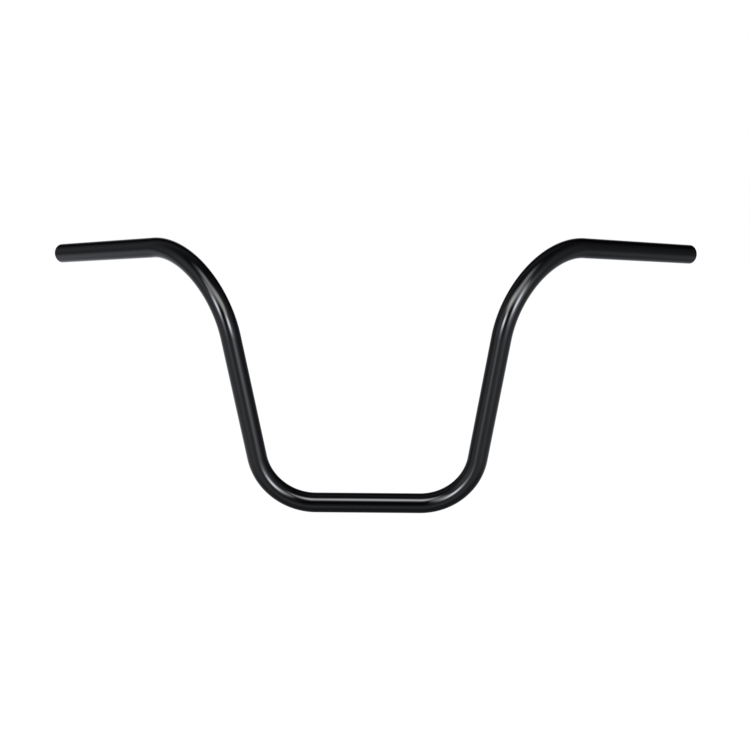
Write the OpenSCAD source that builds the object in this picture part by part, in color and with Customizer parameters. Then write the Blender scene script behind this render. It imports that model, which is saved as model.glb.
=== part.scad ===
// Ape hanger handlebar: one steel tube, bent four times, open at both ends.
// Millimetres. Origin on the tube axis at the middle of the base, where the riser clamps hold it.
// +X along the base, +Y to the rider, +Z up the uprights.
// Each half is written as a tube bender works: straight, bend, straight, turn, bend, straight.

/* [Tube] */
// Outside diameter of the tube, which the clamps, levers and grips fit
tube_diameter = 25.4; // [22:0.1:32]
// Wall thickness of the tube
tube_wall = 2.5; // [1.6:0.1:4]

/* [Base] */
// Straight length in the middle, between the two lower bends
base_straight = 132; // [90:1:240]
// Centreline radius of the lower bends
lower_bend_radius = 74; // [50:1:110]
// How far each lower bend turns the tube up, in degrees; 90 makes the uprights vertical
lower_bend_angle = 80.4; // [65:0.1:100]

/* [Uprights] */
// Straight length of each upright
upright_straight = 162; // [60:1:320]
// How far each upper bend is turned back to the rider from the plane of the U, in degrees
turn_back_angle = 43.5; // [5:0.5:80]

/* [Upper bends and grips] */
// Centreline radius of the upper bends
upper_bend_radius = 108; // [55:1:150]
// How far each upper bend turns the tube out and back, in degrees
upper_bend_angle = 96.2; // [70:0.1:120]
// Straight length of each grip, from the upper bend to the open end
grip_straight = 224; // [130:1:280]

/* [Tube ends] */
// Radius of the rounded outer edge at each open end
end_round = 1; // [0.3:0.1:1]

/* [Hidden] */
$fn = 120;
tube_radius = tube_diameter / 2;
bore_radius = tube_radius - tube_wall;
// Length of tube that is shaped together with its end
end_length = 20;
paint = "#17181a";

// Cross-section of the tube
module tube_section() {
    difference() {
        circle(tube_radius);
        circle(bore_radius);
    }
}

// A straight length along +Z, then whatever follows it
module straight(length) {
    linear_extrude(length) tube_section();
    translate([0, 0, length]) children();
}

// A bend: the tube comes in along +Z at the origin and turns towards +X, then whatever follows it.
// It starts as a whole ring of tube. The far block trims it in the frame of what follows, and the
// near block in the frame of what came before, so that each joint lies in one exact plane.
module bend(radius, turn) {
    reach = radius + tube_diameter;
    difference() {
        translate([radius, 0, 0]) rotate([0, turn, 0]) translate([-radius, 0, 0]) {
            difference() {
                translate([radius, 0, 0]) rotate([90, 0, 0])
                    rotate_extrude() translate([radius, 0]) tube_section();
                translate([radius - reach, -tube_diameter, 0]) cube([2 * reach, 2 * tube_diameter, reach]);
            }
            children();
        }
        translate([radius - reach, -tube_diameter, -reach]) cube([2 * reach, 2 * tube_diameter, reach]);
    }
}

// The last length of tube, cut square, with its outer edge rounded and the bore open to the cut
module open_end() {
    rotate_extrude() difference() {
        translate([bore_radius, 0]) square([tube_wall, end_length]);
        translate([tube_radius - end_round, end_length - end_round]) difference() {
            square(2 * end_round);
            circle(end_round);
        }
    }
}

// One half, from the middle of the base to the open end, along +Z and turning to -X first
module half() {
    straight(base_straight / 2) rotate([0, 0, 180])
        bend(lower_bend_radius, lower_bend_angle)
        straight(upright_straight) rotate([0, 0, 180 + turn_back_angle])
        bend(upper_bend_radius, upper_bend_angle)
        straight(grip_straight - end_length) open_end();
}

module right_half() {
    rotate([0, 90, 0]) half();
}

module handlebar() {
    color(paint) {
        right_half();
        mirror([1, 0, 0]) right_half();
    }
}

handlebar();
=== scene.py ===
import bpy
import bmesh
import math
from mathutils import Euler, Matrix, Quaternion, Vector


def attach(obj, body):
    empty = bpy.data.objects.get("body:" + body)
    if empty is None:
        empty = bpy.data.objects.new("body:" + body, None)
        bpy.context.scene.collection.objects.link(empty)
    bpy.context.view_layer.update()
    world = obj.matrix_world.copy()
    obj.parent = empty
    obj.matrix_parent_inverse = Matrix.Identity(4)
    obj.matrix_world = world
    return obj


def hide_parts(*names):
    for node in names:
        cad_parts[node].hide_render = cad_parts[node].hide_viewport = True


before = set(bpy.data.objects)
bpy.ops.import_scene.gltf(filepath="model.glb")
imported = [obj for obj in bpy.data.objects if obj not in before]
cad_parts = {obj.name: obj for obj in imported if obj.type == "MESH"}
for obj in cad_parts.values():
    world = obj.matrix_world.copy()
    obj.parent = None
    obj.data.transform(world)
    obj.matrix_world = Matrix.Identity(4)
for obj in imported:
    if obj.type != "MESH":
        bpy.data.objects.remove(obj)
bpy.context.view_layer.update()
print("frame loaded")

noiseSpan = (0.3, 0.7)  # nearly all values of a noise pattern lie between these


def mm(length):
    return length / 1000


def linearColour(hexCode):  # sRGB hex to the linear RGBA of Blender's sockets
    parts = [int(hexCode[k:k + 2], 16) / 255 for k in (1, 3, 5)]
    linear = [c / 12.92 if c <= 0.04045 else ((c + 0.055) / 1.055) ** 2.4 for c in parts]
    return (*linear, 1.0)


def addNode(tree, kind, settings=None, stops=None, **inputs):
    # inputs go by socket name, with _ for a space. A value is a node, a socket or a constant, and a
    # list fills several sockets of one name in their order, as in Math
    node = tree.nodes.new(kind)
    for name, value in (settings or {}).items():
        setattr(node, name, value)
    if stops:  # colour ramp: pairs of a position and a hex colour or a grey level from 0 to 1
        ramp = node.color_ramp.elements
        while len(ramp) < len(stops):
            ramp.new(1.0)
        for element, (position, shade) in zip(ramp, stops):
            element.position = position
            isHex = isinstance(shade, str)
            element.color = linearColour(shade) if isHex else (shade, shade, shade, 1.0)
    for name, value in inputs.items():
        label = name.replace("_", " ")
        sockets = [s for s in node.inputs if s.name == label and s.enabled]
        for socket, item in zip(sockets, value if isinstance(value, list) else [value]):
            if isinstance(item, bpy.types.Node):
                item = [s for s in item.outputs if s.enabled][0]
            if isinstance(item, bpy.types.NodeSocket):
                tree.links.new(item, socket)
            else:
                socket.default_value = item
    return node


def newMaterial(name):
    material = bpy.data.materials.new(name)
    material.use_nodes = True
    material.node_tree.nodes.clear()
    return material


def newObject(name, data):
    thing = bpy.data.objects.new(name, data)
    bpy.context.scene.collection.objects.link(thing)
    return thing


# the tube: steel, bent four times and open at both ends, in mm and degrees as a bender is set
tube = {
    "outside": 25.4,  # one inch
    "wall": 2.5,
    "baseStraight": 132,
    "lowerRadius": 74, "lowerTurn": 80.4,
    "uprightStraight": 162,
    "turnBack": 43.5,  # from the plane of the U, back to the rider
    "upperRadius": 108, "upperTurn": 96.2,
    "gripStraight": 224,
    "endRound": 1.0,  # rounded outer edge of each end
    "endBevel": 0.4,  # deburred inner edge
    "sides": 96,  # faces round the tube
    "turnPerRing": 1.6,  # between rings in a bend
    "ringGap": 12,  # between rings on a straight
    "roundSteps": 8,  # rings over the rounded outer edge
}


def tubeRings(spec):
    # rings of the right half from the middle of the base to its end: a matrix whose local Z runs
    # along the tube, the turn that keeps the mesh lines straight, and the length so far
    rings = []
    state = {"place": Matrix.Rotation(math.radians(90), 4, "Y"), "turned": 0.0, "length": 0.0}

    def add(place, length):
        rings.append((place, state["turned"], length))

    def straight(length, closed=False):
        count = round(length / spec["ringGap"])
        for k in range(count + closed):
            part = length * k / count
            add(state["place"] @ Matrix.Translation((0, 0, mm(part))), state["length"] + part)
        state["place"] = state["place"] @ Matrix.Translation((0, 0, mm(length)))
        state["length"] += length

    def turn(degrees):
        state["place"] = state["place"] @ Matrix.Rotation(math.radians(degrees), 4, "Z")
        state["turned"] += math.radians(degrees)

    def bend(radius, degrees):
        count = round(degrees / spec["turnPerRing"])
        hub = state["place"] @ Matrix.Translation((mm(radius), 0, 0))
        back = Matrix.Translation((-mm(radius), 0, 0))
        length = radius * math.radians(degrees)
        for k in range(count):
            swing = Matrix.Rotation(math.radians(degrees * k / count), 4, "Y")
            add(hub @ swing @ back, state["length"] + length * k / count)
        state["place"] = hub @ Matrix.Rotation(math.radians(degrees), 4, "Y") @ back
        state["length"] += length

    straight(spec["baseStraight"] / 2)
    turn(180)
    bend(spec["lowerRadius"], spec["lowerTurn"])
    straight(spec["uprightStraight"])
    turn(180 + spec["turnBack"])
    bend(spec["upperRadius"], spec["upperTurn"])
    straight(spec["gripStraight"] - spec["endRound"], closed=True)
    return rings


def tubeProfile(spec):
    # every ring of the half as (place, turned, radius, normal before, normal after, depth): along
    # the outside to the end, round its edges and back through the bore. A normal is (out, along),
    # and depth is the way into the bore from the mouth
    rings = tubeRings(spec)
    outer = spec["outside"] / 2
    bore = outer - spec["wall"]
    edge, bevel = spec["endRound"], spec["endBevel"]
    place, turned, length = rings[-1]
    rows = [(p, t, outer, (1, 0), (1, 0), 0) for p, t, _ in rings]
    for k in range(1, spec["roundSteps"] + 1):
        angle = math.radians(90) * k / spec["roundSteps"]
        normal = (math.cos(angle), math.sin(angle))
        step = place @ Matrix.Translation((0, 0, mm(edge) * normal[1]))
        rows.append((step, turned, outer - edge + edge * normal[0], normal, normal, 0))
    face = place @ Matrix.Translation((0, 0, mm(edge)))
    slope = (-math.sqrt(0.5), math.sqrt(0.5))
    rows.append((face, turned, bore + bevel, (0, 1), slope, 0))
    mouth = face @ Matrix.Translation((0, 0, -mm(bevel)))
    rows.append((mouth, turned, bore, slope, (-1, 0), bevel))
    rows += [(p, t, bore, (-1, 0), (-1, 0), length + edge - run) for p, t, run in reversed(rings)]
    return rows


def buildTube(spec):
    rows = tubeProfile(spec)
    bore = spec["outside"] / 2 - spec["wall"]
    bm = bmesh.new()
    depthLayer = bm.verts.layers.float.new("boreDepth")  # metres from the mouth
    loopNormals = []

    def ring(row, side):
        place, turned, radius, before, after, depth = row
        along = place.to_3x3() @ Vector((0, 0, 1))
        corners = []
        for k in range(spec["sides"]):
            angle = math.tau * k / spec["sides"] - turned
            out = place.to_3x3() @ Vector((math.cos(angle), math.sin(angle), 0))
            point = place.translation + out * mm(radius)
            vert = bm.verts.new((point.x * side, point.y, point.z))
            vert[depthLayer] = mm(depth)
            normals = [out * n[0] + along * n[1] for n in (before, after)]
            corners.append([vert] + [Vector((n.x * side, n.y, n.z)) for n in normals])
        return radius, corners

    def strip(first, second, side):
        inBore = first[0] == bore and second[0] == bore
        for k in range(spec["sides"]):
            n = (k + 1) % spec["sides"]
            corners = [(first[1][k], 2), (first[1][n], 2), (second[1][n], 1), (second[1][k], 1)]
            if side < 0:
                corners.reverse()
            made = bm.faces.new([corner[0] for corner, _ in corners])
            made.smooth = True
            made.material_index = 1 if inBore else 0
            loopNormals.extend(corner[which] for corner, which in corners)

    right = [ring(row, 1) for row in rows]
    # the first and the last ring lie on the middle plane and serve both halves
    left = [right[0]] + [ring(row, -1) for row in rows[1:-1]] + [right[-1]]
    for half, side in ((right, 1), (left, -1)):
        for first, second in zip(half, half[1:]):
            strip(first, second, side)

    mesh = bpy.data.meshes.new("bentTube")
    bm.to_mesh(mesh)
    bm.free()
    mesh.normals_split_custom_set([tuple(n) for n in loopNormals])
    return newObject("bentTube", mesh)


# polyester powder coat, sprayed and baked: a deep black under a hard gloss, with the faint orange
# peel that the powder leaves as it flows out, so that highlights keep a slightly soft edge
coat = {
    "blacks": ("#030304", "#050506"),
    "ior": 1.5,
    "roughness": (0.03, 0.05),
    "driftSize": 70,  # mm, slow change of black and gloss along the bar
    "driftDetail": 2,
    "peelSize": 2.4,  # mm from crest to crest
    "peelDetail": 1,
    "peelHeight": 0.0005,  # mm
}


def powderCoat(spec):
    material = newMaterial("glossBlackPowderCoat")
    tree = material.node_tree
    where = addNode(tree, "ShaderNodeTexCoord").outputs["Object"]
    drift = addNode(tree, "ShaderNodeTexNoise", Vector=where,
                    Scale=1000 / spec["driftSize"], Detail=spec["driftDetail"])
    black = addNode(tree, "ShaderNodeValToRGB", stops=list(zip(noiseSpan, spec["blacks"])), Fac=drift)
    gloss = addNode(tree, "ShaderNodeMapRange", Value=drift,
                    From_Min=noiseSpan[0], From_Max=noiseSpan[1],
                    To_Min=spec["roughness"][0], To_Max=spec["roughness"][1])
    peel = addNode(tree, "ShaderNodeTexNoise", Vector=where,
                   Scale=1000 / spec["peelSize"], Detail=spec["peelDetail"])
    relief = addNode(tree, "ShaderNodeBump", Height=peel, Distance=mm(spec["peelHeight"]))
    surface = addNode(tree, "ShaderNodeBsdfPrincipled", Base_Color=black, Roughness=gloss,
                      IOR=spec["ior"], Normal=relief)
    addNode(tree, "ShaderNodeOutputMaterial", Surface=surface)
    return material


# mild steel as it left the tube mill, seen inside the open ends: a dull grey clouded by mill scale,
# under a mist of black powder that reaches a little way in from the mouth
bareSteel = {
    "greys": ("#57534f", "#85807a"),
    "scaleSize": 9,  # mm, clouds of mill scale
    "scaleDetail": 5,
    "mistBlack": "#0d0d0e",
    "mistReach": (6, 24),  # mm from the mouth: full cover, and none
    "patchSize": 5,  # mm, ragged edge of the mist
    "patchDetail": 4,
    "roughness": (0.3, 0.45),  # under the mist, and bare
}


def boreSteel(spec):
    material = newMaterial("millFinishSteelBore")
    tree = material.node_tree
    where = addNode(tree, "ShaderNodeTexCoord").outputs["Object"]
    depth = addNode(tree, "ShaderNodeAttribute", {"attribute_name": "boreDepth"}).outputs["Fac"]
    patches = addNode(tree, "ShaderNodeTexNoise", Vector=where,
                      Scale=1000 / spec["patchSize"], Detail=spec["patchDetail"])
    ragged = addNode(tree, "ShaderNodeMath", {"operation": "MULTIPLY_ADD"},
                     Value=[patches, mm(spec["patchSize"]), -mm(spec["patchSize"]) / 2])
    reach = addNode(tree, "ShaderNodeMath", {"operation": "ADD"}, Value=[depth, ragged])
    bare = addNode(tree, "ShaderNodeMapRange", {"interpolation_type": "SMOOTHSTEP"}, Value=reach,
                   From_Min=mm(spec["mistReach"][0]), From_Max=mm(spec["mistReach"][1]))
    millScale = addNode(tree, "ShaderNodeTexNoise", Vector=where,
                        Scale=1000 / spec["scaleSize"], Detail=spec["scaleDetail"])
    grey = addNode(tree, "ShaderNodeValToRGB", stops=list(zip(noiseSpan, spec["greys"])), Fac=millScale)
    tone = addNode(tree, "ShaderNodeMix", {"data_type": "RGBA"}, Factor=bare,
                   A=linearColour(spec["mistBlack"]), B=grey)
    rough = addNode(tree, "ShaderNodeMapRange", Value=bare,
                    To_Min=spec["roughness"][0], To_Max=spec["roughness"][1])
    surface = addNode(tree, "ShaderNodeBsdfPrincipled",
                      Base_Color=tone, Metallic=bare, Roughness=rough)
    addNode(tree, "ShaderNodeOutputMaterial", Surface=surface)
    return material


bentTube = buildTube(tube)
bentTube.data.materials.append(powderCoat(coat))
bentTube.data.materials.append(boreSteel(bareSteel))
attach(bentTube, "root")
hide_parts("handlebar")
print("tube built:", len(bentTube.data.polygons), "faces")


# the studio is a white sweep with a dim room round it and three soft lamps

# matt seamless paper, rolled out below the bar: lit as paper is, but seen directly it is mostly plain
# white, so that it meets the sweep and shows only a trace of the bar's soft shadow
paper = {
    "height": -560,  # mm from the middle of the base
    "radius": 5200,
    "fade": (1800, 4600),  # mm from the middle: paper alone, and sweep alone
    "colour": "#f1f1ef",
    "veil": 0.9,  # share of plain white when seen directly
    "veilLevel": 1.105,  # comes to about 1, white, with the lit paper under it
    "sides": 96,
}


def paleFloor(spec):
    bm = bmesh.new()
    bmesh.ops.create_circle(bm, cap_ends=True, segments=spec["sides"], radius=mm(spec["radius"]))
    bmesh.ops.translate(bm, verts=bm.verts, vec=(0, 0, mm(spec["height"])))
    mesh = bpy.data.meshes.new("floor")
    bm.to_mesh(mesh)
    bm.free()
    floor = newObject("floor", mesh)
    material = newMaterial("mattSeamlessPaper")
    tree = material.node_tree
    where = addNode(tree, "ShaderNodeTexCoord").outputs["Object"]
    flat = addNode(tree, "ShaderNodeVectorMath", {"operation": "MULTIPLY"}, Vector=[where, (1, 1, 0)])
    away = addNode(tree, "ShaderNodeVectorMath", {"operation": "LENGTH"}, Vector=flat)
    fade = addNode(tree, "ShaderNodeMapRange", {"interpolation_type": "SMOOTHSTEP"},
                   Value=away.outputs["Value"],
                   From_Min=mm(spec["fade"][0]), From_Max=mm(spec["fade"][1]))
    path = addNode(tree, "ShaderNodeLightPath")
    direct = addNode(tree, "ShaderNodeMath", {"operation": "MAXIMUM"},
                     Value=[path.outputs["Is Camera Ray"], path.outputs["Is Transmission Ray"]])
    veil = addNode(tree, "ShaderNodeMath", {"operation": "MULTIPLY"}, Value=[direct, spec["veil"]])
    sheet = addNode(tree, "ShaderNodeBsdfDiffuse", Color=linearColour(spec["colour"]))
    white = addNode(tree, "ShaderNodeEmission", Strength=spec["veilLevel"])
    lit = addNode(tree, "ShaderNodeMixShader", Fac=veil, Shader=[sheet, white])
    shown = addNode(tree, "ShaderNodeMath", {"operation": "MAXIMUM"},
                    Value=[direct, path.outputs["Is Glossy Ray"]])
    sweep = addNode(tree, "ShaderNodeEmission", Strength=shown)
    blend = addNode(tree, "ShaderNodeMixShader", Fac=fade, Shader=[lit, sweep])
    addNode(tree, "ShaderNodeOutputMaterial", Surface=blend)
    mesh.materials.append(material)
    floor.visible_glossy = False  # the gloss sees the levels of floorShown
    return floor


paleFloor(paper)

# the room, in levels where 1 is white. Seen directly it is white, its soft light is the fill, and in
# the gloss it has a level by direction. A level in floorShown or roomShown goes by how far the
# direction points up (z), to the back (y) and to the right (x), from -1 to 1, and the three multiply
room = {
    "fill": 0.22,
    "cast": "#f3f6ff",  # cool tone in the gloss
    "floorShown": {
        "z": [(-1, 0.15), (-0.7, 0.45), (-0.55, 1), (-0.35, 1), (-0.25, 0.5), (0.1, 0)],
        "y": [(-1, 0.5), (0, 0.9), (1, 0.9)],
        "x": [(-1, 0.5), (-0.5, 1), (0.1, 1), (1, 0.3)],
    },
    "roomShown": {
        "z": [(-0.15, 0), (0.1, 0.5), (1, 0.4)],
        "y": [(-0.4, 0), (0.4, 0.5), (0.75, 0), (0.9, 0.1), (1, 1)],
        "x": [(-0.5, 1), (0, 0.8), (0.5, 0.2)],
    },
    # bright patches as (degrees right of the camera's side, degrees up, narrowness, level)
    "glows": [
        (30, 5, 75, 16),
        (-25, 7, 90, 18),
        (-5, 58, 40, 3.6),
        (38, -3, 20, 2.4),
        (-27, -7, 40, 2),
        (60, 15, 5, 0.4),
        (-60, 10, 9, 0.8),
        (180, -14, 30, 0.8),  # the white sweep, straight behind
    ],
}


def studioWorld(spec):
    world = bpy.data.worlds.new("studioWorld")
    world.use_nodes = True
    bpy.context.scene.world = world
    tree = world.node_tree
    tree.nodes.clear()
    toward = addNode(tree, "ShaderNodeTexCoord").outputs["Generated"]
    axes = addNode(tree, "ShaderNodeSeparateXYZ", Vector=toward)
    shares = []
    for part in (spec["floorShown"], spec["roomShown"]):
        levels = []
        for axis in ("z", "y", "x"):
            along = addNode(tree, "ShaderNodeMapRange", Value=axes.outputs[axis.upper()],
                            From_Min=-1.0, From_Max=1.0)
            stops = [((at + 1) / 2, level) for at, level in part[axis]]
            levels.append(addNode(tree, "ShaderNodeValToRGB", stops=stops, Fac=along))
        share = levels[0]
        for level in levels[1:]:
            share = addNode(tree, "ShaderNodeMath", {"operation": "MULTIPLY"}, Value=[share, level])
        shares.append(share)
    for right, up, narrowness, level in spec["glows"]:
        right, up = math.radians(right), math.radians(up)
        middle = (math.sin(right) * math.cos(up), -math.cos(right) * math.cos(up), math.sin(up))
        near = addNode(tree, "ShaderNodeVectorMath", {"operation": "DOT_PRODUCT"},
                       Vector=[toward, middle])
        near = addNode(tree, "ShaderNodeMath", {"operation": "MAXIMUM"},
                       Value=[near.outputs["Value"], 0.0])
        near = addNode(tree, "ShaderNodeMath", {"operation": "POWER"}, Value=[near, narrowness])
        shares.append(addNode(tree, "ShaderNodeMath", {"operation": "MULTIPLY"}, Value=[near, level]))
    shown = shares[0]
    for share in shares[1:]:
        shown = addNode(tree, "ShaderNodeMath", {"operation": "ADD"}, Value=[shown, share])
    path = addNode(tree, "ShaderNodeLightPath")
    inGloss = path.outputs["Is Glossy Ray"]
    direct = addNode(tree, "ShaderNodeMath", {"operation": "MAXIMUM"},
                     Value=[path.outputs["Is Camera Ray"], path.outputs["Is Transmission Ray"]])
    dim = addNode(tree, "ShaderNodeMix", {"data_type": "FLOAT"}, Factor=inGloss,
                  A=spec["fill"], B=shown)
    level = addNode(tree, "ShaderNodeMix", {"data_type": "FLOAT"}, Factor=direct, A=dim, B=1.0)
    tone = addNode(tree, "ShaderNodeMix", {"data_type": "RGBA"}, Factor=inGloss,
                   A=linearColour("#ffffff"), B=linearColour(spec["cast"]))
    surround = addNode(tree, "ShaderNodeBackground", Color=tone, Strength=level)
    addNode(tree, "ShaderNodeOutputWorld", Surface=surround)


studioWorld(room)

# soft lamps, in mm and degrees. The level is the one at the middle, and the higher "edge" is, the
# faster it fades towards the rim
lamps = {
    "rightLamp": {"at": (1320, -2390, 1080), "size": (1550, 1860), "roll": -3, "level": 4.5, "edge": 1.3},
    "leftLamp": {"at": (-1060, -2410, 1380), "size": (1480, 2200), "roll": -18, "level": 4, "edge": 1.4},
    "topLamp": {"at": (10, -330, 540), "size": (1280, 650), "roll": 5, "level": 6.6, "edge": 6},
}
lampTarget = (0, 50, 150)  # mm, where they all point


def softLamp(name, spec):
    light = bpy.data.lights.new(name, "AREA")
    light.shape = "ELLIPSE"
    light.size, light.size_y = mm(spec["size"][0]), mm(spec["size"][1])
    # the power that gives an ellipse of this size its level
    light.energy = spec["level"] * math.pi * math.pi / 4 * light.size * light.size_y
    light.use_nodes = True
    tree = light.node_tree
    tree.nodes.clear()
    where = addNode(tree, "ShaderNodeNewGeometry").outputs["Parametric"]  # from 0 to 1 across it
    around = addNode(tree, "ShaderNodeVectorMath", {"operation": "SUBTRACT"},
                     Vector=[where, (0.5, 0.5, 0.0)])
    away = addNode(tree, "ShaderNodeVectorMath", {"operation": "DOT_PRODUCT"}, Vector=[around, around])
    inside = addNode(tree, "ShaderNodeMapRange", Value=away.outputs["Value"],
                     From_Min=0.5 ** 2, From_Max=0.0)
    soft = addNode(tree, "ShaderNodeMath", {"operation": "POWER"}, Value=[inside, spec["edge"]])
    glow = addNode(tree, "ShaderNodeEmission", Strength=soft)
    addNode(tree, "ShaderNodeOutputLight", Surface=glow)
    lamp = newObject(name, light)
    lamp.location = Vector(spec["at"]) / 1000
    aim = (Vector(lampTarget) / 1000 - lamp.location).to_track_quat("-Z", "Y")
    lamp.rotation_euler = (aim @ Quaternion((0, 0, 1), math.radians(-spec["roll"]))).to_euler()
    lamp.visible_camera = False


for name, spec in lamps.items():
    softLamp(name, spec)
print("studio lit")


# the camera as the photograph was taken: in front, a little above, with a long lens
view = {
    "at": (94.92, -1864.27, 852.18),  # mm
    "turn": (70.0041, 0.56, 2.371),  # degrees
    "lens": 77.14,  # mm
    "sensor": 36,  # mm
    "clip": (50, 50000),  # mm
}
lens = bpy.data.cameras.new("photoCamera")
lens.lens = view["lens"]
lens.sensor_width = view["sensor"]
lens.clip_start, lens.clip_end = mm(view["clip"][0]), mm(view["clip"][1])
photoCamera = newObject("photoCamera", lens)
photoCamera.location = Vector(view["at"]) / 1000
photoCamera.rotation_euler = Euler([math.radians(a) for a in view["turn"]])
bpy.context.scene.camera = photoCamera
bpy.context.scene.view_settings.view_transform = "Standard"
print("camera set")
